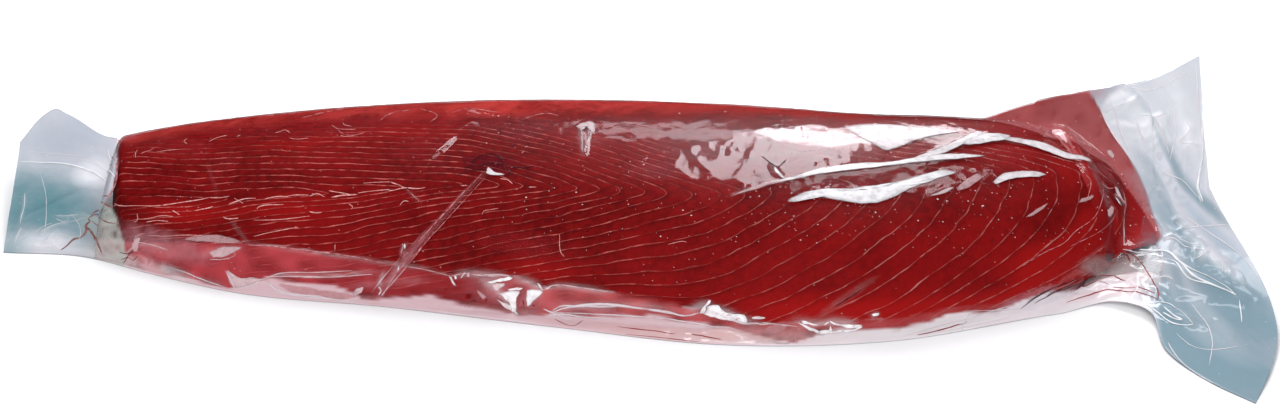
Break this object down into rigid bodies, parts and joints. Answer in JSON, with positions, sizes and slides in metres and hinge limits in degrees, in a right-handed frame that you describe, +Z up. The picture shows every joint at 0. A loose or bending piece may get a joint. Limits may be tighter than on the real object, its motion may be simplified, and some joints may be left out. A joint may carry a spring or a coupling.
{
  "type": "vacuum-packed raw tuna loin",
  "caption": "Long raw tuna loin drawn tight in a clear vacuum bag, with flat film ends that stand out past it at both ends.",
  "frame": {"origin": "on the surface that the bag lies on, under the middle of its bounding box", "axes": "+X along the loin from its narrow tail end to its thick end, +Y across it from its front edge to its back edge, +Z up"},
  "size_m": [0.7846, 0.317, 0.1016],
  "materials": {
    "tuna_flesh": "wet deep red muscle with thin pale connective lines",
    "clear_film": "clear glossy plastic film, crinkled",
    "meat_juice": "thin wet red juice"
  },
  "bodies": {
    "root": {"bagged_tuna_loin": "tuna_flesh"}
  },
  "joints": []
}
